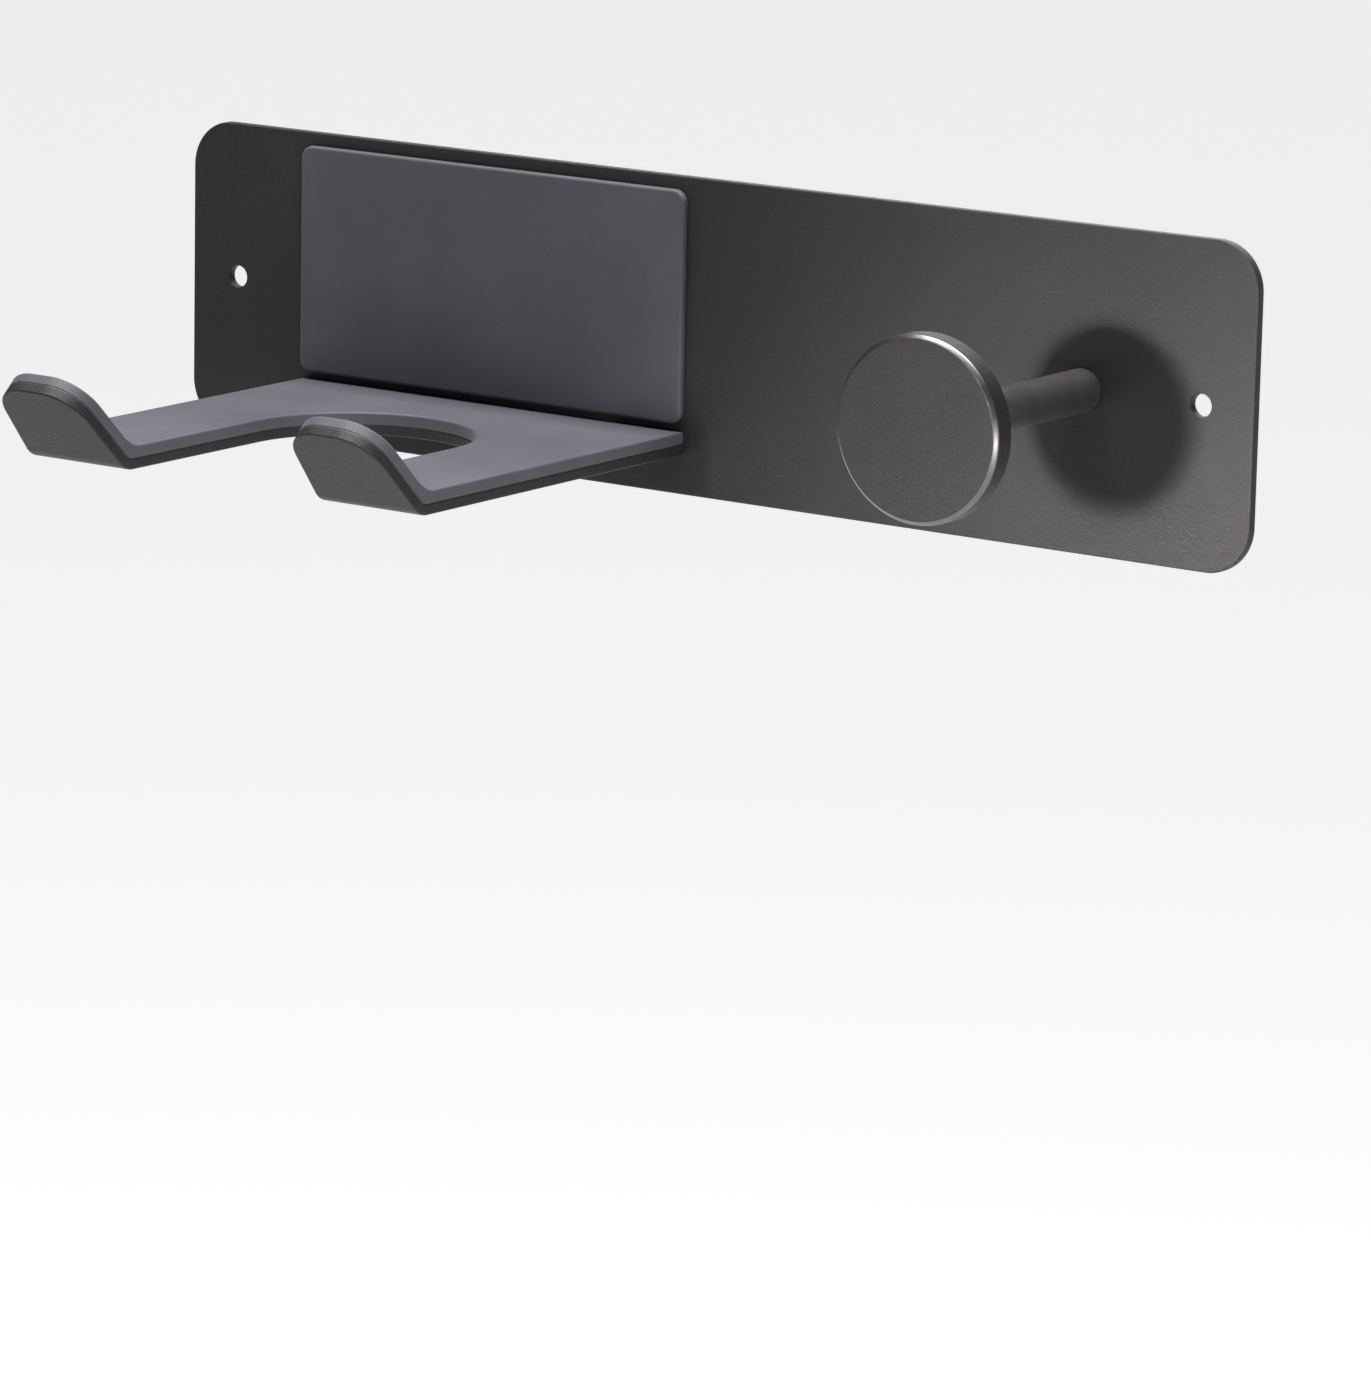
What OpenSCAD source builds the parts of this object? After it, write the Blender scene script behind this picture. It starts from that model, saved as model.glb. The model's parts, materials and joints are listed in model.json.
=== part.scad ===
// Wall-mounted hair dryer holder with a padded cradle and a cord peg.
// Frame: +X along the wall to the right, +Y into the wall, +Z up. The origin is on the
// back plate's rear face, midway between the two wall screw holes.

/* [Back plate] */
// Width of the back plate
plate_w = 240; // [232:1:300]
// Height of the back plate
plate_h = 60; // [58:1:80]
// Thickness of the back plate
plate_t = 2; // [2:0.1:4]
// Corner radius of the back plate
plate_corner_r = 9; // [2:0.5:12]

/* [Wall screw holes] */
// Diameter of each wall screw hole
wall_hole_d = 4.2; // [3.5:0.1:5.5]
// Distance of each hole's centre from the plate's end
wall_hole_inset = 11; // [9:0.5:13]

/* [Cradle] */
// Centre of the cradle, measured along the wall from the plate's centre
cradle_x = -47.5; // [-50:0.5:-10]
// Width of the cradle
cradle_w = 90; // [84:1:96]
// Width of the slot that the dryer's handle passes through
slot_w = 45; // [40:0.5:50]
// Distance from the plate to the centre of the slot's round end
slot_centre_out = 42; // [38:1:50]
// Distance from the plate to the crease under the lips
shelf_out = 81.4; // [76:0.1:95]
// Height of the shelf's underside
shelf_bottom_z = -22.4; // [-26:0.1:-22.4]
// Thickness of the cradle's sheet metal
sheet_t = 2; // [1.5:0.1:2.4]

/* [Lips] */
// Angle of the lips above the shelf
lip_angle = 47.5; // [30:0.5:70]
// Length of each lip from the crease to its tip
lip_len = 20.5; // [16:0.5:26]
// Radius of each lip's two free corners
lip_corner_r = 8; // [3:0.5:9]
// How much each side of a lip draws in towards its tip
lip_taper = 1.2; // [0.5:0.1:2]
// Inside radius of the bend
bend_r = 2.8; // [2.8:0.1:5]

/* [Pads] */
// Thickness of the cradle's soft liner
liner_t = 2.2; // [1:0.1:2.4]
// Height of the soft pad on the back plate
back_pad_h = 44; // [36:0.5:44]
// Height of the back pad's lower edge
back_pad_z = -16.5; // [-17:0.1:-15]
// Thickness of the back pad, with its adhesive film
back_pad_t = 1.5; // [1:0.1:2.5]
// Corner radius of the back pad
back_pad_corner_r = 2.5; // [1:0.5:8]
// Thickness of the adhesive films under the liner and the back pad
film_t = 0.2; // [0.1:0.05:0.3]

/* [Cord peg] */
// Position of the peg along the wall
peg_x = 84.4; // [50:0.1:90]
// Diameter of the peg's stem
stem_d = 8; // [7:0.5:12]
// Length of the stem between the plate and the cap
stem_len = 50; // [30:1:60]
// Diameter of the cap
cap_d = 33.6; // [24:0.1:44]
// Thickness of the cap
cap_t = 5; // [4.5:0.1:10]
// Width of the bright bevel round the cap's face
cap_bevel = 0.8; // [0.3:0.1:1.2]

/* [Wall adhesive pads] */
// Width of each foam adhesive pad
foam_w = 44; // [30:1:46]
// Height of each foam adhesive pad
foam_h = 34; // [20:1:34]
// Thickness of each foam adhesive pad
foam_t = 0.8; // [0.5:0.1:1.5]

/* [Hidden] */
$fn = 96;

// Colours
coat = "#3a3739";
silicone = "#4d4e56";
anodised = "#4d484c";
film = "#c9c3b4";
steel = "#b0b2b5";
foam = "#222224";

// Clearance round a piece that sits in a slot or a hole
fit_gap = 0.1;
// Overshoot that makes a cut clear the surface it starts from
cut = 1;

// Wall screws
wall_hole_x = plate_w / 2 - wall_hole_inset;

// Cradle
prong_w = (cradle_w - slot_w) / 2;
prong_offset = (slot_w + prong_w) / 2;
slot_centre_y = -plate_t - slot_centre_out;
shelf_top_z = shelf_bottom_z + sheet_t;
// The outer surfaces of shelf and lip would meet at the crease: the bend starts before it
bend_setback = (bend_r + sheet_t) * tan(lip_angle / 2);
bend_y = -plate_t - shelf_out + bend_setback;
bend_z = shelf_top_z + bend_r;
lip_straight = lip_len - bend_setback;
// Flat facets in each bend, and how far a lip's outline is carried back over its prong
bend_steps = 8;
lip_run_back = 50;

// Tabs on the cradle's rear edge, welded into slots in the back plate
tab_w = 12;
tab_pitch = 32;
tab_short = 0.2;
tab_len = plate_t - tab_short;
weld_leg = 2.4;
weld_len = 16;

// Peg fastening
screw_d = 4;
screw_head_d = 7.4;
screw_rim_t = 0.2;
screw_head_t = screw_rim_t + (screw_head_d - screw_d) / 2;
screw_reach = 12;
screw_clear = 0.04;
tap_runout = 1;
hex_af = 2.5;
hex_depth = 1.2;
spigot_d = 5;
spigot_len = 3;
edge_break = 0.4;

// Foam pads between the wall holes, above the welded tabs
foam_corner_r = 4;
foam_z = 4;
foam_xs = [-76, -10, 50];

// ---- Shapes that repeat ----

// A rectangle with round corners, centred on the origin
module rounded_rect(w, h, r) {
  square([w - 2 * r, h], center = true);
  square([w, h - 2 * r], center = true);
  for (sx = [-1, 1], sy = [-1, 1]) {
    translate([sx * (w / 2 - r), sy * (h / 2 - r)]) circle(r);
  }
}

// Stands an outline drawn in X and Z up against the wall: its thickness runs from y to y - t
module on_wall(y, t) {
  translate([0, y, 0]) rotate([90, 0, 0]) linear_extrude(t) children();
}

// Turns a shape's own Z axis to point out of the wall, at the peg
module at_peg(y) {
  translate([peg_x, y, 0]) rotate([90, 0, 0]) children();
}

// One lip laid flat: its straight sides draw in, and its two free corners are round. Below
// its base, on the X axis, the outline widens out past the sides of the prong.
module lip_outline() {
  base_x = prong_w / 2;
  corner_x = base_x - lip_taper - lip_corner_r;
  corner_y = lip_straight - lip_corner_r;
  reach = norm([corner_x - base_x, corner_y]);
  side_angle = atan2(corner_y, corner_x - base_x) - asin(lip_corner_r / reach);
  side_len = sqrt(reach * reach - lip_corner_r * lip_corner_r);
  tangent_x = base_x + side_len * cos(side_angle);
  tangent_y = side_len * sin(side_angle);
  right = [
    [base_x + cut, -lip_run_back], [base_x + cut, -tangent_y],
    [2 * base_x - tangent_x, -tangent_y], [tangent_x, tangent_y],
    [corner_x, corner_y], [corner_x, lip_straight]
  ];
  left = [for (i = [len(right) - 1:-1:0]) [-right[i][0], right[i][1]]];
  polygon(concat(right, left));
  for (side = [-1, 1]) {
    translate([side * corner_x, corner_y]) circle(lip_corner_r);
  }
}

// Points along the bend at radius r, in Y and Z, from the shelf to the lip
function bend_points(r) = [
  for (i = [0:bend_steps])
    let (a = lip_angle * i / bend_steps)
      [bend_y - r * sin(a), bend_z - r * cos(a)]
];

// The same points from the lip back to the shelf
function bend_points_back(r) = let (p = bend_points(r)) [for (i = [0:bend_steps]) p[bend_steps - i]];

// A point in Y and Z on a lip's face at radius r, at a distance s past the bend
function lip_point(r, s) = [
  bend_y - r * sin(lip_angle) - s * cos(lip_angle),
  bend_z - r * cos(lip_angle) + s * sin(lip_angle)
];

// One layer of one prong and its lip, from the slot's round end to the lip's tip
module prong_layer(r_in, r_out) {
  intersection() {
    translate([-prong_w / 2, 0, 0]) rotate([90, 0, 90]) linear_extrude(prong_w)
      polygon(concat(
        [[slot_centre_y, bend_z - r_out]],
        bend_points(r_out),
        [lip_point(r_out, lip_straight + cut), lip_point(r_in, lip_straight + cut)],
        bend_points_back(r_in),
        [[slot_centre_y, bend_z - r_in]]
      ));
    translate([0, bend_y, bend_z]) rotate([180 - lip_angle, 0, 0])
      translate([0, 0, -lip_run_back]) linear_extrude(2 * lip_run_back) lip_outline();
  }
}

// One layer of the cradle: shelf, bends and lips. The layer lies between the radii r_in
// and r_out of the bend, so layers that share a radius lie face to face.
module cradle_layer(r_in, r_out, rear_y) {
  translate([cradle_x, 0, bend_z - r_out]) linear_extrude(r_out - r_in) difference() {
    translate([-cradle_w / 2, slot_centre_y]) square([cradle_w, rear_y - slot_centre_y]);
    translate([0, slot_centre_y]) circle(slot_w / 2);
  }
  for (side = [-1, 1]) {
    translate([cradle_x + side * prong_offset, 0, 0]) prong_layer(r_in, r_out);
  }
}

// ---- Sub-parts ----

// Sheet-metal plate with two wall screw holes, three tab slots and the peg's countersink
module back_plate() {
  color(coat) difference() {
    on_wall(0, plate_t) difference() {
      rounded_rect(plate_w, plate_h, plate_corner_r);
      for (side = [-1, 1]) {
        translate([side * wall_hole_x, 0]) circle(d = wall_hole_d);
      }
      for (i = [-1:1]) {
        translate([cradle_x + i * tab_pitch, shelf_bottom_z + sheet_t / 2])
          square([tab_w + 2 * fit_gap, sheet_t + 2 * fit_gap], center = true);
      }
    }
    at_peg(cut) cylinder(d = screw_d + 2 * fit_gap, h = plate_t + 2 * cut);
    at_peg(0) cylinder(
      d1 = screw_head_d + 2 * (screw_rim_t + fit_gap),
      d2 = screw_d + 2 * fit_gap,
      h = screw_head_t
    );
    at_peg(cut) cylinder(d = screw_head_d + 2 * (screw_rim_t + fit_gap), h = cut);
  }
}

// Bent sheet: a shelf with a U slot, two upturned lips, and three tabs into the plate
module cradle() {
  color(coat) {
    cradle_layer(bend_r, bend_r + sheet_t, -plate_t);
    for (i = [-1:1]) {
      translate([cradle_x + i * tab_pitch - tab_w / 2, -plate_t, shelf_bottom_z])
        cube([tab_w, tab_len, sheet_t]);
    }
  }
}

// Fillet welds in the corner under the shelf, one at each tab
module cradle_welds() {
  color(coat) for (i = [-1:1]) {
    translate([cradle_x + i * tab_pitch - weld_len / 2, -plate_t, shelf_bottom_z])
      intersection() {
        rotate([0, 90, 0]) cylinder(r = weld_leg, h = weld_len);
        translate([0, -weld_leg, -weld_leg]) cube([weld_len, weld_leg, weld_leg]);
      }
  }
}

// An outline of the back pad at its place on the plate
module back_pad_outline() {
  translate([cradle_x, back_pad_z + back_pad_h / 2])
    rounded_rect(cradle_w, back_pad_h, back_pad_corner_r);
}

// Soft pad on the back plate, behind the dryer
module back_pad() {
  color(silicone) on_wall(-plate_t - film_t, back_pad_t - film_t) back_pad_outline();
}

// Adhesive film that holds the back pad
module back_pad_film() {
  color(film) on_wall(-plate_t, film_t) back_pad_outline();
}

// Soft liner over the shelf and the inside of both lips
module cradle_liner() {
  color(silicone) cradle_layer(bend_r - film_t - liner_t, bend_r - film_t, -plate_t - fit_gap);
}

// Adhesive film that holds the liner
module cradle_liner_film() {
  color(film) cradle_layer(bend_r - film_t, bend_r, -plate_t - fit_gap);
}

// Turned stem: a tapped hole at the wall end, a threaded spigot at the cap end
module peg_stem() {
  hole_r = screw_d / 2 + screw_clear;
  hole_depth = screw_reach - plate_t + tap_runout;
  color(anodised) at_peg(-plate_t) rotate_extrude() polygon([
    [hole_r, 0],
    [stem_d / 2, 0],
    [stem_d / 2, stem_len],
    [spigot_d / 2, stem_len],
    [spigot_d / 2, stem_len + spigot_len - edge_break],
    [spigot_d / 2 - edge_break, stem_len + spigot_len],
    [0, stem_len + spigot_len],
    [0, hole_depth + hole_r / 2],
    [hole_r, hole_depth]
  ]);
}

// Turned cap: a disc with a bright bevel in front and a tapped blind hole behind
module peg_cap() {
  hole_r = spigot_d / 2 + screw_clear;
  hole_depth = spigot_len + fit_gap;
  color(anodised) at_peg(-plate_t - stem_len) rotate_extrude() polygon([
    [hole_r, 0],
    [cap_d / 2 - edge_break, 0],
    [cap_d / 2, edge_break],
    [cap_d / 2, cap_t - cap_bevel],
    [cap_d / 2 - cap_bevel, cap_t],
    [0, cap_t],
    [0, hole_depth],
    [hole_r, hole_depth]
  ]);
}

// Countersunk socket screw through the plate into the stem
module peg_screw() {
  color(steel) at_peg(0) difference() {
    rotate_extrude() polygon([
      [0, 0],
      [screw_head_d / 2, 0],
      [screw_head_d / 2, screw_rim_t],
      [screw_d / 2, screw_head_t],
      [screw_d / 2, screw_reach - edge_break],
      [screw_d / 2 - edge_break, screw_reach],
      [0, screw_reach]
    ]);
    translate([0, 0, -cut]) cylinder(d = hex_af / cos(30), h = hex_depth + cut, $fn = 6);
  }
}

// One foam adhesive pad on the rear of the plate
module foam_pad(x) {
  color(foam) on_wall(foam_t, foam_t) translate([x, foam_z])
    rounded_rect(foam_w, foam_h, foam_corner_r);
}

back_plate();
cradle();
cradle_welds();
back_pad();
back_pad_film();
cradle_liner();
cradle_liner_film();
peg_stem();
peg_cap();
peg_screw();
foam_pad(foam_xs[0]);  // foam_pad_left
foam_pad(foam_xs[1]);  // foam_pad_middle
foam_pad(foam_xs[2]);  // foam_pad_right
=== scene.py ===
"""A wall-mounted hair dryer holder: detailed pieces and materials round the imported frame.

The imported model's frame is used throughout: +X along the wall to the right, +Y into the wall, +Z up.
Shapes are drawn in millimetres, and make_piece() turns them into metres.
"""
import json
import math

import bmesh
import bpy
from mathutils import Matrix, Vector


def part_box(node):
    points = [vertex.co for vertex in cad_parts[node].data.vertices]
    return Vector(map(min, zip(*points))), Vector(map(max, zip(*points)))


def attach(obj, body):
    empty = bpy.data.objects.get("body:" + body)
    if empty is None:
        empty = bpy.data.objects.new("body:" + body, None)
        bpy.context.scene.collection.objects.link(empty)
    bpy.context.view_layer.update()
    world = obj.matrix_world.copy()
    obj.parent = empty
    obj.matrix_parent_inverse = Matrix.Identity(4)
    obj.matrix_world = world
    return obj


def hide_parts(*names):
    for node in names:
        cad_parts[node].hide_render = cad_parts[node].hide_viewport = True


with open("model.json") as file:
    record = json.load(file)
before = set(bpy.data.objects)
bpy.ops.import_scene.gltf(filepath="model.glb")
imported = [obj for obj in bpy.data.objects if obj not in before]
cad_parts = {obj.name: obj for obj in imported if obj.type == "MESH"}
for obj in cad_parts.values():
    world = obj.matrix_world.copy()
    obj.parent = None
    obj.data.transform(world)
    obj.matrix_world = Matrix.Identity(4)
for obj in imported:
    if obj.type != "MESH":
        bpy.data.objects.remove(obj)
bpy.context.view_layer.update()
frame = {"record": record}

MM = 0.001


def box_mm(node):
    """Lowest and highest corner of a CAD node, in millimetres."""
    low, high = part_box(node)
    return low / MM, high / MM


# ---- Sizes, in millimetres and degrees ----

PLATE_LOW, PLATE_HIGH = box_mm("back_plate")
CRADLE_LOW, CRADLE_HIGH = box_mm("cradle")
CAP_LOW, CAP_HIGH = box_mm("peg_cap")
STEM_LOW, STEM_HIGH = box_mm("peg_stem")
SCREW_LOW, SCREW_HIGH = box_mm("peg_screw")
MOUNTS = {m["name"]: m["dims"] for m in frame["record"]["mounts"]}

PLATE_T = PLATE_HIGH.y - PLATE_LOW.y
PLATE_FRONT = PLATE_LOW.y
PLATE_CORNER_R = 9
PLATE_EDGE_R = 0.4
TAB_SLOT_CORNER_R = 0.5
TAB_SLOT_EDGE_R = 0.15
WALL_HOLE_X = MOUNTS["wall_screws"]["spacing_x_mm"] / 2
WALL_HOLE_R = MOUNTS["wall_screws"]["hole_r_mm"]

# Cradle: a U-slotted shelf, bent up into two lips
CRADLE_X = (CRADLE_LOW.x + CRADLE_HIGH.x) / 2
SHEET_T = 2
SLOT_R = 22.5
SLOT_CENTRE_OUT = 44
SHELF_OUT = 83.4
LIP_ANGLE = math.radians(47.5)
LIP_LEN = 20.5
LIP_CORNER_R = 8
# How far each side of a lip draws in towards the lip's tip
LIP_TAPER = 1.2
BEND_R = 2.8
SHELF_BOTTOM = CRADLE_LOW.z
BEND_Z = SHELF_BOTTOM + SHEET_T + BEND_R
BEND_SETBACK = (BEND_R + SHEET_T) * math.tan(LIP_ANGLE / 2)
BEND_START = SHELF_OUT - BEND_SETBACK
LIP_STRAIGHT = LIP_LEN - BEND_SETBACK
# The bend's length in the flat pattern, and the number of rows of faces that it is cut into
BEND_RUN = 4
BEND_ROWS = 20
CRADLE_EDGE_R = 0.3
TAB_W = 12
TAB_PITCH = 32
TAB_GAP = 0.1
TAB_END = -CRADLE_HIGH.y

# Soft parts. An UNDER_EDGE_R is the radius of the edges that lie against the adhesive film
FILM_T = 0.2
FILM_INSET = 0.15
LINER_T = 2.2
LINER_EDGE_R = 0.45
LINER_UNDER_EDGE_R = 0.15
# The liner is moulded thicker in the crease, so that its upper face has this radius there
CREASE_R = 6
LINER_REAR = -box_mm("cradle_liner")[1].y
PAD_CORNER_R = 2.5
PAD_EDGE_R = 0.6
PAD_UNDER_EDGE_R = 0.1
FOAM_CORNER_R = 4
FOAM_WALL_EDGE_R = 0.2
FOAM_PLATE_EDGE_R = 0.05

# Cord peg
PEG_X = (CAP_LOW.x + CAP_HIGH.x) / 2
PEG_Z = (CAP_LOW.z + CAP_HIGH.z) / 2
CAP_R = (CAP_HIGH.x - CAP_LOW.x) / 2
CAP_T = CAP_HIGH.y - CAP_LOW.y
CAP_BEVEL = 0.8
CAP_REAR_FILLET = 0.6
CAP_RIM_FILLET = 0.8
CAP_FACE_FILLET = 0.5
CAP_STEPS = 144
STEM_R = (STEM_HIGH.x - STEM_LOW.x) / 2
STEM_LEN = PLATE_FRONT - CAP_HIGH.y
STEM_FILLET = 0.35
SCREW_R = 2
SCREW_HEAD_R = (SCREW_HIGH.x - SCREW_LOW.x) / 2
SCREW_LEN = SCREW_HIGH.y - SCREW_LOW.y
SCREW_RIM = 0.2
SCREW_TIP_CHAMFER = 0.4
SCREW_EDGE = 0.12
SCREW_EDGE_DEPTH = 0.1
COUNTERSINK_GAP = 0.2
COUNTERSINK_EDGE = 0.15
COUNTERSINK_STEP = 0.1
HEX_R = 1.25
HEX_DEPTH = 1.2
HEX_POINT = 0.35

# Weld beads. The ripple's depth and the height of the bead's ends are shares of the bead's leg
BEAD_RINGS = 90
BEAD_POINTS = 12
RIPPLE_PITCH = 0.9
RIPPLE_DEPTH = 0.12
RIPPLE_SWEEP = 0.9
RIPPLE_SHARPNESS = 0.6
BEAD_TAPER_POWER = 6
BEAD_END = 0.03

# Meshes. A cut that passes this close to a vertex goes through it
CUT_MERGE_DISTANCE = 0.001
SHARP_ANGLE = math.radians(40)


# ---- Outlines ----

def arc(centre, radius, start, end, steps):
    """Points along an arc between two angles in degrees, both ends included."""
    angles = [math.radians(start + (end - start) * i / steps) for i in range(steps + 1)]
    return [Vector((centre[0] + radius * math.cos(a), centre[1] + radius * math.sin(a))) for a in angles]


def rounded_rect(low, high, r, steps=12):
    """An anticlockwise rectangle with round corners."""
    left, bottom = low[0] + r, low[1] + r
    right, top = high[0] - r, high[1] - r
    centres = [(right, bottom), (right, top), (left, top), (left, bottom)]
    return [p for i, c in enumerate(centres) for p in arc(c, r, 90 * i - 90, 90 * i, steps)]


def round_hole(x, y, r, steps=48):
    """A clockwise circle."""
    return arc((x, y), r, 0, -360 * (steps - 1) / steps, steps - 1)


def inset(outline, distance):
    """The outline moved into the material, which lies on its left."""
    moved = []
    for i, point in enumerate(outline):
        before = (point - outline[i - 1]).normalized()
        after = (outline[(i + 1) % len(outline)] - point).normalized()
        inwards = Vector((-before.y - after.y, before.x + after.x)).normalized()
        moved.append(point + inwards * (distance / inwards.dot(Vector((-after.y, after.x)))))
    return moved


def rounded_edge(thickness, r_low, r_high, steps=4):
    """Insets and heights up the edge of a sheet whose lower and upper edges are round."""
    angles = [math.pi / 2 * i / steps for i in range(steps + 1)]
    low = [(r_low * (1 - math.sin(a)), r_low * (1 - math.cos(a))) for a in angles]
    high = [(r_high * (1 - math.sin(a)), thickness - r_high * (1 - math.cos(a))) for a in reversed(angles)]
    return low + high


# ---- Solids ----

def sheet(edges, rows=()):
    """A flat sheet from (outline, edge profile) pairs, the outer outline first, cut along rows of y."""
    bm = bmesh.new()
    rims = {0: [], -1: []}
    for outline, profile in edges:
        rings = [[bm.verts.new((p.x, p.y, h)) for p in inset(outline, d)] for d, h in profile]
        for low, high in zip(rings, rings[1:]):
            for i in range(len(low)):
                j = (i + 1) % len(low)
                bm.faces.new((low[i], low[j], high[j], high[i]))
        for end, rim in rims.items():
            ring = rings[end]
            rim += [bm.edges.get((ring[i - 1], ring[i])) for i in range(len(ring))]
    for rim in rims.values():
        bmesh.ops.triangle_fill(bm, use_beauty=True, edges=rim)
    for y in rows:
        everything = [*bm.verts, *bm.edges, *bm.faces]
        bmesh.ops.bisect_plane(bm, geom=everything, dist=CUT_MERGE_DISTANCE,
                               plane_co=(0, y, 0), plane_no=(0, 1, 0))
    return bm


def shaped(bm, place):
    """Moves each vertex of a flat sheet to where place says."""
    for v in bm.verts:
        v.co = place(*v.co)
    return bm


def against_wall(rear):
    """Stands a sheet drawn in X and Z upright, with its lower face at Y = rear."""
    return lambda x, z, h: Vector((x, rear - h, z))


def crease_reach(fill, h):
    """How far past either end of the bend a filled crease reaches, at height h in the sheet."""
    return fill * h * math.tan(LIP_ANGLE / 2)


def bend_rows(fill=0.0, thickness=0.0):
    """Where the flat pattern is cut into rows of faces, from one end of the bend to the other."""
    reach = crease_reach(fill, thickness)
    return [BEND_START - reach + (BEND_RUN + 2 * reach) * i / BEND_ROWS for i in range(BEND_ROWS + 1)]


def bent(outer_r, fill=0.0):
    """Bends the cradle's flat pattern.

    outer_r is the bend radius of the sheet's lower face. In a sheet that is moulded thicker in the
    crease, fill is how much radius each millimetre of height adds there.
    """
    def place(x, out, h):
        r = outer_r - h + fill * h
        start = BEND_START - crease_reach(fill, h)
        run = BEND_RUN + 2 * crease_reach(fill, h)
        shelf_z = BEND_Z - outer_r + h
        if out <= start:
            return Vector((x, -out, shelf_z))
        turn = min((out - start) / run, 1) * LIP_ANGLE
        past = max(out - start - run, 0)
        y = -start - r * math.sin(turn) - past * math.cos(turn)
        z = shelf_z + r * (1 - math.cos(turn)) + past * math.sin(turn)
        return Vector((x, y, z))
    return place


def turned(profile, steps=96):
    """A solid turned round Z from (radius, height) points; a third value of True makes a hexagon."""
    bm = bmesh.new()
    rings = []
    for radius, height, *hexagon in profile:
        if radius == 0:
            rings.append([bm.verts.new((0, 0, height))] * steps)
            continue
        ring = []
        for i in range(steps):
            a = 2 * math.pi * i / steps
            reach = radius / math.cos(a % (math.pi / 3) - math.pi / 6) if hexagon else radius
            ring.append(bm.verts.new((reach * math.cos(a), reach * math.sin(a), height)))
        rings.append(ring)
    for low, high in zip(rings, rings[1:]):
        for i in range(steps):
            j = (i + 1) % steps
            corners = list(dict.fromkeys((low[i], low[j], high[j], high[i])))
            bm.faces.new(corners)
    return bm


def softened(points, steps=4):
    """A turned profile from (radius, height, fillet radius) points, with each fillet as an arc."""
    profile = []
    for i, (r, h, fillet) in enumerate(points):
        corner = Vector((r, h))
        if fillet == 0:
            profile.append((r, h))
            continue
        to_before = (Vector(points[i - 1][:2]) - corner).normalized()
        to_after = (Vector(points[i + 1][:2]) - corner).normalized()
        half = to_before.angle(to_after) / 2
        centre = corner + (to_before + to_after).normalized() * (fillet / math.sin(half))
        start = corner + to_before * (fillet / math.tan(half)) - centre
        sweep = math.pi - 2 * half
        for k in range(steps + 1):
            profile.append(tuple(centre + Matrix.Rotation(sweep * k / steps, 2) @ start))
    return profile


def out_of_wall(y):
    """Places a turned piece on the peg's axis, with its foot at Y = y and its own Z towards the room."""
    return Matrix.Translation((PEG_X * MM, y * MM, PEG_Z * MM)) @ Matrix.Rotation(math.pi / 2, 4, "X")


def make_piece(name, bm, materials, node, place=Matrix.Identity(4)):
    """Makes a smooth-shaded piece in metres from a solid in millimetres, standing for a CAD node."""
    bmesh.ops.recalc_face_normals(bm, faces=bm.faces)
    if bm.calc_volume(signed=True) < 0:
        bmesh.ops.reverse_faces(bm, faces=bm.faces)
    bm.transform(Matrix.Scale(MM, 4))
    mesh = bpy.data.meshes.new(name)
    bm.to_mesh(mesh)
    bm.free()
    mesh.shade_smooth()
    mesh.set_sharp_from_angle(angle=SHARP_ANGLE)
    for material in materials:
        mesh.materials.append(material)
    obj = bpy.data.objects.new(name, mesh)
    bpy.context.scene.collection.objects.link(obj)
    obj.matrix_world = place
    normals = obj.modifiers.new("weighted normals", "WEIGHTED_NORMAL")
    normals.keep_sharp = True
    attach(obj, "root")
    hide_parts(node)
    return obj


# ---- Materials ----

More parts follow.
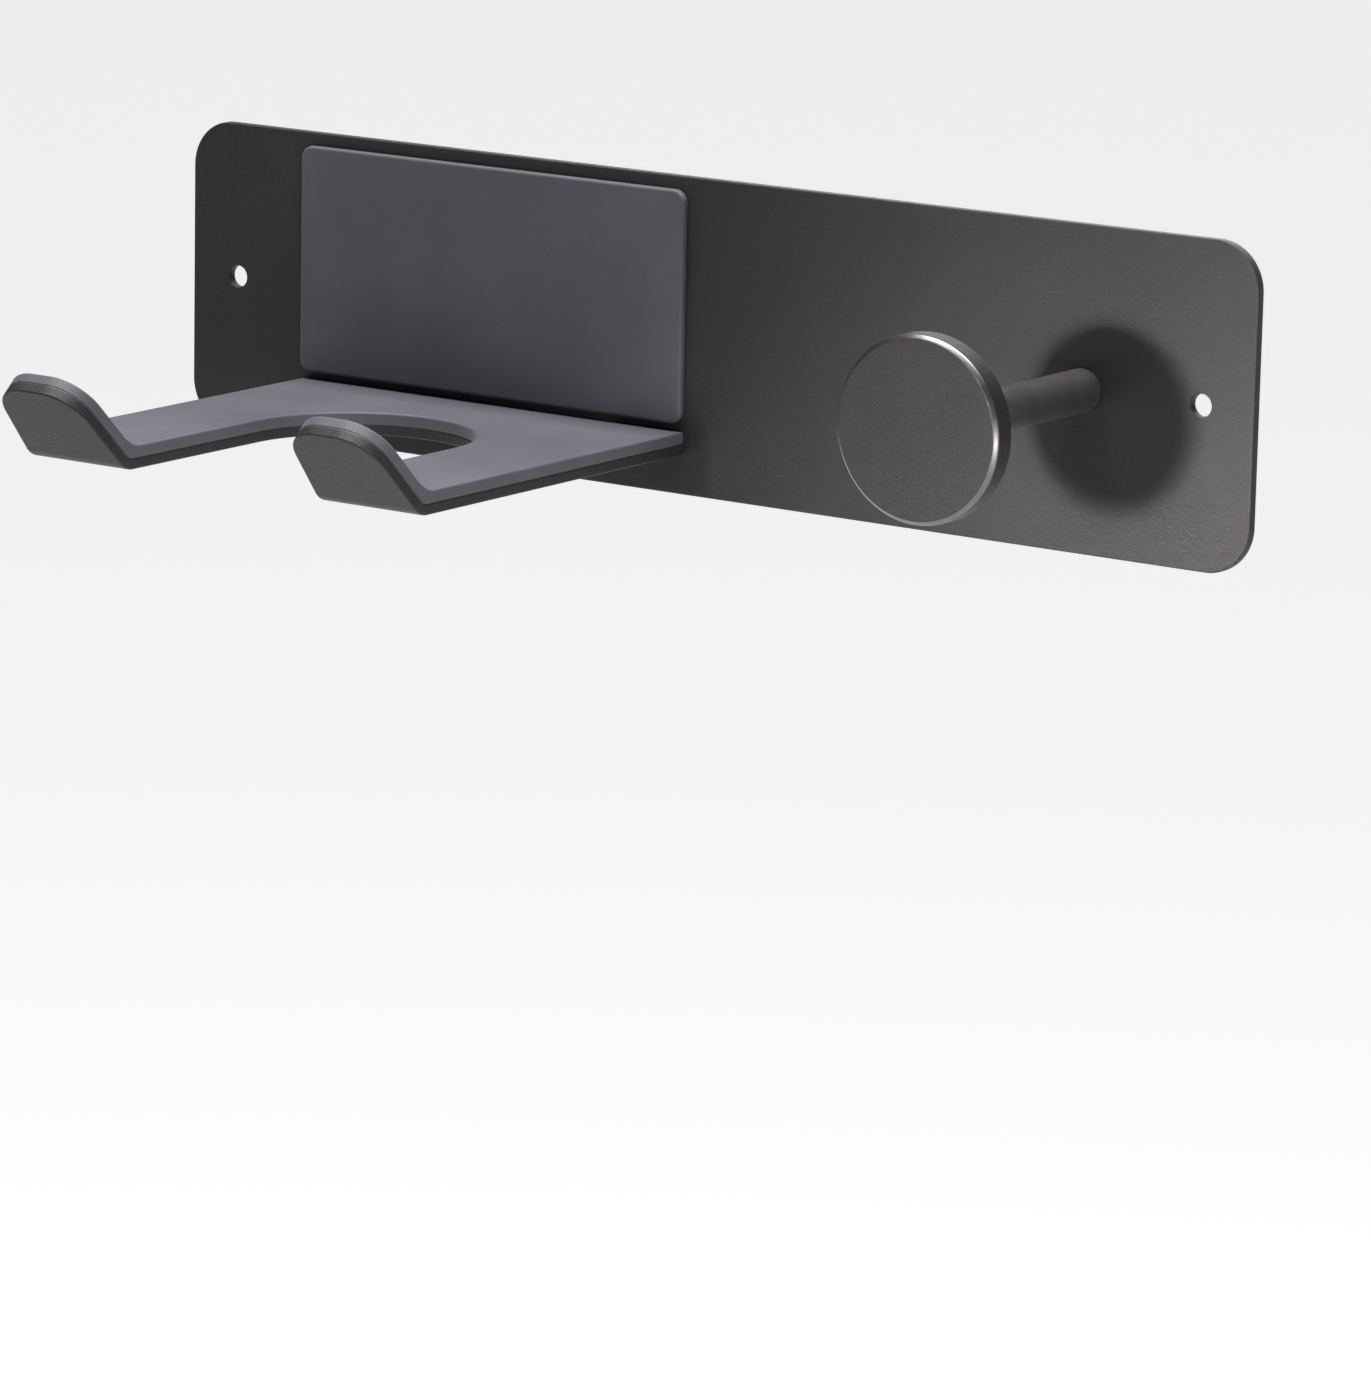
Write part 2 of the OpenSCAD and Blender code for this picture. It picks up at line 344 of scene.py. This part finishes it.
class Shader:
    """A material's node tree, with short calls for the nodes that repeat."""

    def __init__(self, name):
        self.material = bpy.data.materials.new(name)
        self.material.use_nodes = True
        self.tree = self.material.node_tree
        self.bsdf = self.tree.nodes["Principled BSDF"]
        self.where = self.tree.nodes.new("ShaderNodeTexCoord").outputs["Object"]

    def node(self, kind, **settings):
        """A new node with some of its settings changed."""
        made = self.tree.nodes.new(kind)
        for key, value in settings.items():
            setattr(made, key, value)
        return made

    def socket(self, key):
        """The shader's own socket: base_color is Base Color, and so on."""
        return self.bsdf.inputs[key.replace("_", " ").title().replace("Ior", "IOR")]

    def set(self, **values):
        """Sets the shader's own sockets to plain values."""
        for key, value in values.items():
            self.socket(key).default_value = value

    def noise(self, size, detail=4, roughness=0.55):
        """Noise from 0 to 1 whose blotches are about size across, in millimetres."""
        made = self.node("ShaderNodeTexNoise")
        self.tree.links.new(self.where, made.inputs["Vector"])
        made.inputs["Scale"].default_value = 1 / (size * MM)
        made.inputs["Detail"].default_value = detail
        made.inputs["Roughness"].default_value = roughness
        return made.outputs["Fac"]

    def cells(self, size, feature="F1"):
        """Distance to the middle of cells that are about size across, in millimetres."""
        made = self.node("ShaderNodeTexVoronoi", feature=feature)
        self.tree.links.new(self.where, made.inputs["Vector"])
        made.inputs["Scale"].default_value = 1 / (size * MM)
        return made.outputs["Distance"]

    def waves(self, size, distortion=0.0, **settings):
        """Waves from 0 to 1, each about a third of size long, in millimetres."""
        made = self.node("ShaderNodeTexWave", **settings)
        self.tree.links.new(self.where, made.inputs["Vector"])
        made.inputs["Scale"].default_value = 1 / (size * MM)
        made.inputs["Distortion"].default_value = distortion
        return made.outputs["Fac"]

    def ramp(self, value, low, high, start=0.0, end=1.0):
        """Maps low to high of a value onto start to end."""
        made = self.node("ShaderNodeMapRange")
        self.tree.links.new(value, made.inputs["Value"])
        for key, number in {"From Min": low, "From Max": high, "To Min": start, "To Max": end}.items():
            made.inputs[key].default_value = number
        return made.outputs["Result"]

    def maths(self, operation, a, b):
        """A Math node on two values, each a link or a number."""
        made = self.node("ShaderNodeMath", operation=operation)
        for socket, value in zip(made.inputs, (a, b)):
            if isinstance(value, (int, float)):
                socket.default_value = value
            else:
                self.tree.links.new(value, socket)
        return made.outputs[0]

    def mix(self, share, a, b):
        """Mixes two colours, each a link or (r, g, b)."""
        made = self.node("ShaderNodeMix", data_type="RGBA")
        self.tree.links.new(share, made.inputs["Factor"])
        for name, value in (("A", a), ("B", b)):
            socket = next(s for s in made.inputs if s.name == name and s.type == "RGBA")
            if isinstance(value, tuple):
                socket.default_value = (*value, 1)
            else:
                self.tree.links.new(value, socket)
        return next(s for s in made.outputs if s.type == "RGBA")

    def bump(self, height, depth, below=None, strength=1.0):
        """Bump of the given depth in millimetres, on top of an earlier bump."""
        made = self.node("ShaderNodeBump")
        made.inputs["Distance"].default_value = depth * MM
        made.inputs["Strength"].default_value = strength
        self.tree.links.new(height, made.inputs["Height"])
        if below:
            self.tree.links.new(below, made.inputs["Normal"])
        return made.outputs["Normal"]

    def edges(self, radius):
        """1 on edges that are sharper than radius, in millimetres, and 0 elsewhere.

        The normal of a rounded edge leans 6 to 32 degrees away from the true one, as cosines here.
        """
        soft = self.node("ShaderNodeBevel", samples=6)
        soft.inputs["Radius"].default_value = radius * MM
        true = self.node("ShaderNodeNewGeometry")
        dot = self.node("ShaderNodeVectorMath", operation="DOT_PRODUCT")
        self.tree.links.new(soft.outputs["Normal"], dot.inputs[0])
        self.tree.links.new(true.outputs["Normal"], dot.inputs[1])
        return self.ramp(dot.outputs["Value"], 0.995, 0.85)

    def wire(self, **links):
        """Links outputs of other nodes to the shader's own sockets."""
        for key, link in links.items():
            self.tree.links.new(link, self.socket(key))


def powder_coat():
    """Matt powder coat: a fine grain over a faint orange peel, with a painted highlight that makes it a
    little lighter on its edges.
    """
    s = Shader("powder coat")
    dark, light = (0.0150, 0.0125, 0.0130), (0.0195, 0.0166, 0.0172)
    speckle, edge_highlight_colour = (0.043, 0.0375, 0.0385), (0.075, 0.070, 0.067)
    colour = s.mix(s.ramp(s.noise(35, detail=2), 0.3, 0.7), dark, light)
    grain = s.noise(0.5, detail=3, roughness=0.7)
    colour = s.mix(s.ramp(grain, 0.54, 0.72, 0, 0.5), colour, speckle)
    # Painted highlight: the coat's sharp edges are made lighter, broken up by noise, as if they caught the
    # light.
    painted_edge_highlight = s.maths("MULTIPLY", s.edges(0.25), s.ramp(s.noise(1.5), 0.35, 0.7, 0.05, 0.45))
    colour = s.mix(painted_edge_highlight, colour, edge_highlight_colour)
    peel = s.bump(s.noise(2.4, detail=2), 0.07)
    s.wire(base_color=colour, roughness=s.ramp(grain, 0.3, 0.75, 0.46, 0.62),
           normal=s.bump(grain, 0.08, peel))
    s.set(metallic=0.0, specular_ior_level=0.26)
    return s.material


def silicone():
    """Moulded silicone: bluish grey, with a silky micro-texture, a trace of dust and a painted highlight on
    its edges.
    """
    s = Shader("silicone")
    dark, light = (0.053, 0.0525, 0.0645), (0.064, 0.0635, 0.0770)
    dust, rim = (0.15, 0.15, 0.16), (0.13, 0.131, 0.147)
    colour = s.mix(s.ramp(s.noise(18, detail=3), 0.3, 0.7), dark, light)
    skin = s.noise(0.4, detail=3, roughness=0.6)
    colour = s.mix(s.ramp(s.cells(6), 0.035, 0.02, 0, 0.4), colour, dust)
    # Painted highlight: the edges are mixed a little towards a lighter colour, as if the rounded rim caught
    # the light.
    colour = s.mix(s.maths("MULTIPLY", s.edges(0.5), 0.3), colour, rim)
    s.wire(base_color=colour, roughness=s.ramp(skin, 0.3, 0.7, 0.52, 0.68),
           normal=s.bump(skin, 0.03, s.bump(s.noise(6, detail=1), 0.03)))
    s.set(specular_ior_level=0.4, sheen_weight=0.06, sheen_roughness=0.4)
    return s.material


def blasted_anodising():
    """Dark anodised aluminium with a bead-blasted surface of fine round pits."""
    s = Shader("blasted anodising")
    dark, light = (0.0100, 0.0082, 0.0092), (0.0135, 0.0113, 0.0126)
    speckle = (0.035, 0.0295, 0.033)
    pits = s.ramp(s.cells(0.5), 0.12, 0.5)
    grit = s.noise(0.3, detail=2, roughness=0.6)
    colour = s.mix(s.ramp(s.noise(9, detail=3), 0.3, 0.7), dark, light)
    colour = s.mix(s.ramp(grit, 0.52, 0.68, 0, 0.5), colour, speckle)
    s.wire(base_color=colour, roughness=s.ramp(pits, 0, 1, 0.70, 0.54), normal=s.bump(pits, 0.02))
    s.set(metallic=0.15, specular_ior_level=0.22)
    return s.material


def cut_metal():
    """The bright bevel that is cut after anodising, with fine turning lines round the axis."""
    s = Shader("cut metal")
    dark, light = (0.12, 0.115, 0.112), (0.16, 0.154, 0.150)
    lines = s.waves(0.9, wave_type="RINGS", rings_direction="Z")
    streak = s.noise(2.5, detail=4)
    s.wire(base_color=s.mix(streak, dark, light),
           roughness=s.ramp(streak, 0.3, 0.7, 0.30, 0.38), normal=s.bump(lines, 0.0008))
    s.set(metallic=1.0)
    return s.material


def turned_anodising():
    """Dark anodised aluminium with fine turning lines along its length."""
    s = Shader("turned anodising")
    dark, light = (0.060, 0.055, 0.058), (0.085, 0.078, 0.081)
    lines = s.waves(1.6, distortion=1.5, wave_type="BANDS", bands_direction="Z")
    streak = s.noise(2.5, detail=4)
    s.wire(base_color=s.mix(streak, dark, light),
           roughness=s.ramp(streak, 0.3, 0.7, 0.3, 0.42), normal=s.bump(lines, 0.01))
    s.set(metallic=0.55, specular_ior_level=0.5)
    return s.material


def zinc():
    """Zinc-plated steel, slightly cloudy."""
    s = Shader("zinc plate")
    bluish, yellowish = (0.50, 0.50, 0.52), (0.66, 0.65, 0.62)
    cloud = s.noise(1.2, detail=5, roughness=0.65)
    s.wire(base_color=s.mix(s.ramp(cloud, 0.3, 0.7), bluish, yellowish),
           roughness=s.ramp(cloud, 0.3, 0.7, 0.24, 0.42), normal=s.bump(s.noise(0.3), 0.01))
    s.set(metallic=1.0)
    return s.material


def adhesive():
    """Thin, slightly cloudy adhesive film."""
    s = Shader("adhesive film")
    dark, light = (0.050, 0.048, 0.044), (0.075, 0.072, 0.066)
    cloud = s.noise(3, detail=4)
    s.wire(base_color=s.mix(s.ramp(cloud, 0.3, 0.7), dark, light),
           roughness=s.ramp(cloud, 0.3, 0.7, 0.35, 0.55), normal=s.bump(cloud, 0.03))
    return s.material


def foam():
    """Black closed-cell foam, with painted shade in its pores."""
    s = Shader("closed-cell foam")
    dark, light, pore_shade = (0.020, 0.020, 0.021), (0.032, 0.032, 0.034), (0.009, 0.009, 0.010)
    pores = s.cells(0.32)
    colour = s.mix(s.ramp(s.noise(5, detail=3), 0.3, 0.7), dark, light)
    # Painted shade: the middles of the pores, which the bump sinks, are darkened.
    colour = s.mix(s.ramp(pores, 0.5, 0.2, 0, 0.6), colour, pore_shade)
    s.wire(base_color=colour, roughness=s.ramp(pores, 0.1, 0.6, 0.95, 0.7), normal=s.bump(pores, 0.12))
    s.set(specular_ior_level=0.25)
    return s.material


COAT = powder_coat()
SILICONE = silicone()
BLASTED = blasted_anodising()
CUT = cut_metal()
TURNED = turned_anodising()
ZINC = zinc()
ADHESIVE = adhesive()
FOAM = foam()


# ---- Pieces ----

def back_plate():
    """Laser-cut plate with rounded coated edges, wall holes, tab slots and the peg's countersink."""
    edge = rounded_edge(PLATE_T, PLATE_EDGE_R, PLATE_EDGE_R)
    low, high = (PLATE_LOW.x, PLATE_LOW.z), (PLATE_HIGH.x, PLATE_HIGH.z)
    outline = rounded_rect(low, high, PLATE_CORNER_R, steps=20)
    edges = [(outline, edge)]
    for side in (-1, 1):
        edges.append((round_hole(side * WALL_HOLE_X, 0, WALL_HOLE_R), edge))
    slot_w = TAB_W / 2 + TAB_GAP
    slot_z = SHELF_BOTTOM + SHEET_T / 2
    slot_h = SHEET_T / 2 + TAB_GAP
    for i in (-1, 0, 1):
        x = CRADLE_X + i * TAB_PITCH
        low, high = (x - slot_w, slot_z - slot_h), (x + slot_w, slot_z + slot_h)
        slot = rounded_rect(low, high, TAB_SLOT_CORNER_R, steps=4)
        edges.append((slot[::-1], rounded_edge(PLATE_T, TAB_SLOT_EDGE_R, TAB_SLOT_EDGE_R, steps=2)))
    cone_r = SCREW_HEAD_R - SCREW_R
    mouth = [(cone_r + COUNTERSINK_GAP + COUNTERSINK_EDGE, 0), (cone_r + COUNTERSINK_GAP, COUNTERSINK_STEP)]
    countersink = [*mouth, (0, PLATE_T - COUNTERSINK_STEP), (0, PLATE_T)]
    edges.append((round_hole(PEG_X, PEG_Z, SCREW_R + TAB_GAP), countersink))
    bm = shaped(sheet(edges), against_wall(PLATE_HIGH.y))
    make_piece("plate_sheet", bm, [COAT], "back_plate")


def lip_side(x_base, side):
    """One side of a lip, from its base to the middle of its tip; side is 1 on the right, -1 on the left."""
    half = (CRADLE_HIGH.x - CRADLE_LOW.x - 2 * SLOT_R) / 4
    corner = Vector((half - LIP_TAPER - LIP_CORNER_R, LIP_STRAIGHT - LIP_CORNER_R))
    to_corner = corner - Vector((half, 0))
    lean = math.degrees(math.atan2(to_corner.y, to_corner.x) - math.asin(LIP_CORNER_R / to_corner.length))
    points = [Vector((half, 0)), *arc(corner, LIP_CORNER_R, lean - 90, 90, 14)]
    base = BEND_START + BEND_RUN
    return [Vector((x_base + side * p.x, base + p.y)) for p in points]


def cradle_outline(rear, tabs):
    """The cradle's flat pattern, anticlockwise, in X and distance out from the wall's face."""
    prong = (CRADLE_HIGH.x - CRADLE_LOW.x - 2 * SLOT_R) / 2
    middle = SLOT_R + prong / 2
    points = [Vector((CRADLE_HIGH.x, rear))]
    points += lip_side(CRADLE_X + middle, 1) + lip_side(CRADLE_X + middle, -1)[::-1]
    points += arc((CRADLE_X, SLOT_CENTRE_OUT), SLOT_R, 0, -180, 48)
    points += lip_side(CRADLE_X - middle, 1) + lip_side(CRADLE_X - middle, -1)[::-1]
    points.append(Vector((CRADLE_LOW.x, rear)))
    for i in tabs:
        x = CRADLE_X + i * TAB_PITCH
        points += [Vector((x - TAB_W / 2, rear)), Vector((x - TAB_W / 2, TAB_END))]
        points += [Vector((x + TAB_W / 2, TAB_END)), Vector((x + TAB_W / 2, rear))]
    return points


def cradle():
    """Bent and coated steel sheet with three tabs into the plate."""
    outline = cradle_outline(-PLATE_FRONT, (-1, 0, 1))
    edge = rounded_edge(SHEET_T, CRADLE_EDGE_R, CRADLE_EDGE_R)
    bm = shaped(sheet([(outline, edge)], bend_rows()), bent(BEND_R + SHEET_T))
    make_piece("cradle_sheet", bm, [COAT], "cradle")


def cradle_liner():
    """Silicone liner over the shelf and the lips, and the film under it, set back a little."""
    outline = cradle_outline(LINER_REAR, ())
    edge = rounded_edge(LINER_T, LINER_UNDER_EDGE_R, LINER_EDGE_R)
    under_r = BEND_R - FILM_T
    fill = (CREASE_R - under_r + LINER_T) / LINER_T
    bm = shaped(sheet([(outline, edge)], bend_rows(fill, LINER_T)), bent(under_r, fill))
    liner = make_piece("liner_skin", bm, [SILICONE], "cradle_liner")
    edge = [(0, 0), (0, FILM_T)]
    bm = shaped(sheet([(inset(outline, FILM_INSET), edge)], bend_rows()), bent(BEND_R))
    make_piece("liner_film", bm, [ADHESIVE], "cradle_liner_film")


def back_pad():
    """Silicone pad with a rounded rim behind the dryer, and its film, set back a little."""
    low, high = box_mm("back_pad")
    outline = rounded_rect((low.x, low.z), (high.x, high.z), PAD_CORNER_R)
    edge = rounded_edge(high.y - low.y, PAD_UNDER_EDGE_R, PAD_EDGE_R, steps=5)
    bm = shaped(sheet([(outline, edge)]), against_wall(high.y))
    pad = make_piece("back_pad_skin", bm, [SILICONE], "back_pad")
    low, high = box_mm("back_pad_film")
    film = inset(outline, FILM_INSET)
    bm = shaped(sheet([(film, [(0, 0), (0, FILM_T)])]), against_wall(high.y))
    make_piece("back_pad_adhesive", bm, [ADHESIVE], "back_pad_film")


def weld_beads():
    """Fillet beads under the shelf, rippled as the torch left them, with tapered ends."""
    low, high = box_mm("cradle_welds")
    leg = high.z - low.z
    length = high.x - low.x - 2 * TAB_PITCH
    bm = bmesh.new()
    for i in (-1, 0, 1):
        rows = []
        for k in range(BEAD_RINGS + 1):
            along = k / BEAD_RINGS
            x = CRADLE_X + i * TAB_PITCH + length * (along - 0.5)
            taper = math.sqrt(max(1 - abs(2 * along - 1) ** BEAD_TAPER_POWER, BEAD_END))
            row = [bm.verts.new((x, high.y, high.z))]
            for n in range(BEAD_POINTS + 1):
                a = math.pi / 2 * n / BEAD_POINTS
                phase = 2 * math.pi * (length * along / RIPPLE_PITCH - RIPPLE_SWEEP * math.sin(2 * a))
                crest = abs(math.sin(phase / 2)) ** RIPPLE_SHARPNESS
                r = leg * taper * (1 - RIPPLE_DEPTH + RIPPLE_DEPTH * crest * math.sin(2 * a))
                row.append(bm.verts.new((x, high.y - r * math.sin(a), high.z - r * math.cos(a))))
            rows.append(row)
        for a, b in zip(rows, rows[1:]):
            for n in range(len(a)):
                m = (n + 1) % len(a)
                bm.faces.new((a[n], a[m], b[m], b[n]))
        bm.faces.new(rows[0])
        bm.faces.new(rows[-1])
    make_piece("weld_beads", bm, [COAT], "cradle_welds")


def peg_stem():
    """Turned stem with rounded ends."""
    side = [(STEM_R, 0, STEM_FILLET), (STEM_R, STEM_LEN, STEM_FILLET)]
    bm = turned(softened([(0, 0, 0), *side, (0, STEM_LEN, 0)]))
    make_piece("stem", bm, [TURNED], "peg_stem", out_of_wall(PLATE_FRONT))


def peg_cap():
    """Blasted disc with a bright bevel cut round its face."""
    face_r = CAP_R - CAP_BEVEL
    rim = [(CAP_R, 0, CAP_REAR_FILLET), (CAP_R, CAP_T - CAP_BEVEL, CAP_RIM_FILLET)]
    rim.append((face_r, CAP_T, CAP_FACE_FILLET))
    bm = turned(softened([(0, 0, 0), *rim, (0, CAP_T, 0)]), CAP_STEPS)
    for face in bm.faces:
        centre = face.calc_center_median()
        if centre.z > CAP_T - CAP_BEVEL and Vector(centre[:2]).length > face_r:
            face.material_index = 1
    make_piece("cap", bm, [BLASTED, CUT], "peg_cap", out_of_wall(CAP_HIGH.y))


def peg_screw():
    """Countersunk screw with a hex socket, from the bottom of the socket round to its tip."""
    profile = [(0, HEX_DEPTH + HEX_POINT), (HEX_R, HEX_DEPTH, True), (HEX_R, SCREW_EDGE, True)]
    profile += [(HEX_R + SCREW_EDGE, 0, True), (SCREW_HEAD_R - SCREW_EDGE, 0)]
    profile += [(SCREW_HEAD_R, SCREW_EDGE_DEPTH), (SCREW_HEAD_R, SCREW_RIM)]
    profile += [(SCREW_R, SCREW_RIM + SCREW_HEAD_R - SCREW_R), (SCREW_R, SCREW_LEN - SCREW_TIP_CHAMFER)]
    profile += [(SCREW_R - SCREW_TIP_CHAMFER, SCREW_LEN), (0, SCREW_LEN)]
    make_piece("screw", turned(profile), [ZINC], "peg_screw", out_of_wall(SCREW_HIGH.y))


def foam_pads():
    """Die-cut foam pads with slightly pressed edges."""
    for place in ("left", "middle", "right"):
        low, high = box_mm("foam_pad_" + place)
        outline = rounded_rect((low.x, low.z), (high.x, high.z), FOAM_CORNER_R)
        edge = rounded_edge(high.y - low.y, FOAM_WALL_EDGE_R, FOAM_PLATE_EDGE_R)
        bm = shaped(sheet([(outline, edge)]), against_wall(high.y))
        pad = make_piece("foam_" + place, bm, [FOAM], "foam_pad_" + place)


# ---- Camera and studio, in metres, degrees and watts ----

CAMERA_AT = (0.7239, -1.0486, 0.2101)
CAMERA_YAW = 34.7
CAMERA_PITCH = 12.32
CAMERA_ROLL = 1.21
LENS_MM = 179.5
SENSOR_MM = 36

FLOOR_Z = -0.9
FLOOR_HALF = 20
FLOOR_GREY = (0.5, 0.5, 0.5, 1)
FLOOR_GLOW = 0.8
WHITE = (1, 1, 1, 1)
DIM_SKY = (0.10, 0.10, 0.105, 1)

# Name, place, aim, size, power and spread. A narrow spread makes a beam
LIGHTS = (
    ("front", (0.02, -1.2, 0.02), (0.178, 0, -0.11), (0.24, 0.24), 0.75, 11),
    ("top", (0, -0.12, 1.5), (0, -0.05, 0), (1.4, 0.8), 72, 180),
    ("kicker", (0.56, -0.39, -0.13), (0.084, -0.06, 0), (0.12, 0.12), 1.3, 180),
    ("back", (-0.3, 1.2, 0.6), (0, 0, 0), (1, 1), 14, 180),
)


def camera():
    """The photo's viewpoint."""
    turn = Matrix.Rotation(math.radians(CAMERA_YAW), 4, "Z")
    turn @= Matrix.Rotation(math.radians(90 - CAMERA_PITCH), 4, "X")
    turn @= Matrix.Rotation(math.radians(CAMERA_ROLL), 4, "Z")
    data = bpy.data.cameras.new("camera")
    data.lens = LENS_MM
    data.sensor_width = SENSOR_MM
    obj = bpy.data.objects.new("camera", data)
    bpy.context.scene.collection.objects.link(obj)
    obj.matrix_world = Matrix.Translation(CAMERA_AT) @ turn
    bpy.context.scene.camera = obj


def area_light(name, at, towards, size, power, spread):
    """A soft rectangular light that the camera doesn't see."""
    data = bpy.data.lights.new(name, "AREA")
    data.shape = "RECTANGLE"
    data.size, data.size_y = size
    data.energy = power
    data.spread = math.radians(spread)
    obj = bpy.data.objects.new(name, data)
    bpy.context.scene.collection.objects.link(obj)
    obj.location = at
    obj.rotation_euler = (Vector(towards) - Vector(at)).to_track_quat("-Z", "Y").to_euler()
    obj.visible_camera = False


def sky():
    """A world that the camera sees as white, but that lights the object only dimly."""
    world = bpy.data.worlds.new("studio")
    world.use_nodes = True
    tree = world.node_tree
    seen = tree.nodes["Background"]
    seen.inputs["Color"].default_value = WHITE
    lit = tree.nodes.new("ShaderNodeBackground")
    lit.inputs["Color"].default_value = DIM_SKY
    path = tree.nodes.new("ShaderNodeLightPath")
    mix = tree.nodes.new("ShaderNodeMixShader")
    tree.links.new(path.outputs["Is Camera Ray"], mix.inputs[0])
    tree.links.new(lit.outputs[0], mix.inputs[1])
    tree.links.new(seen.outputs[0], mix.inputs[2])
    tree.links.new(mix.outputs[0], tree.nodes["World Output"].inputs["Surface"])
    bpy.context.scene.world = world


def floor():
    """A plain pale floor, well below the holder, that glows softly as a lit sweep does."""
    bm = bmesh.new()
    bmesh.ops.create_grid(bm, x_segments=1, y_segments=1, size=FLOOR_HALF)
    mesh = bpy.data.meshes.new("floor")
    bm.to_mesh(mesh)
    bm.free()
    s = Shader("floor")
    s.set(base_color=FLOOR_GREY, roughness=0.9, emission_color=WHITE, emission_strength=FLOOR_GLOW)
    mesh.materials.append(s.material)
    obj = bpy.data.objects.new("floor", mesh)
    obj.location.z = FLOOR_Z
    bpy.context.scene.collection.objects.link(obj)


def studio():
    """World, floor and lights."""
    bpy.context.scene.view_settings.view_transform = "Standard"
    sky()
    floor()
    for light in LIGHTS:
        area_light(*light)


camera()
studio()
back_plate()
cradle()
cradle_liner()
back_pad()
weld_beads()
peg_stem()
peg_cap()
peg_screw()
foam_pads()
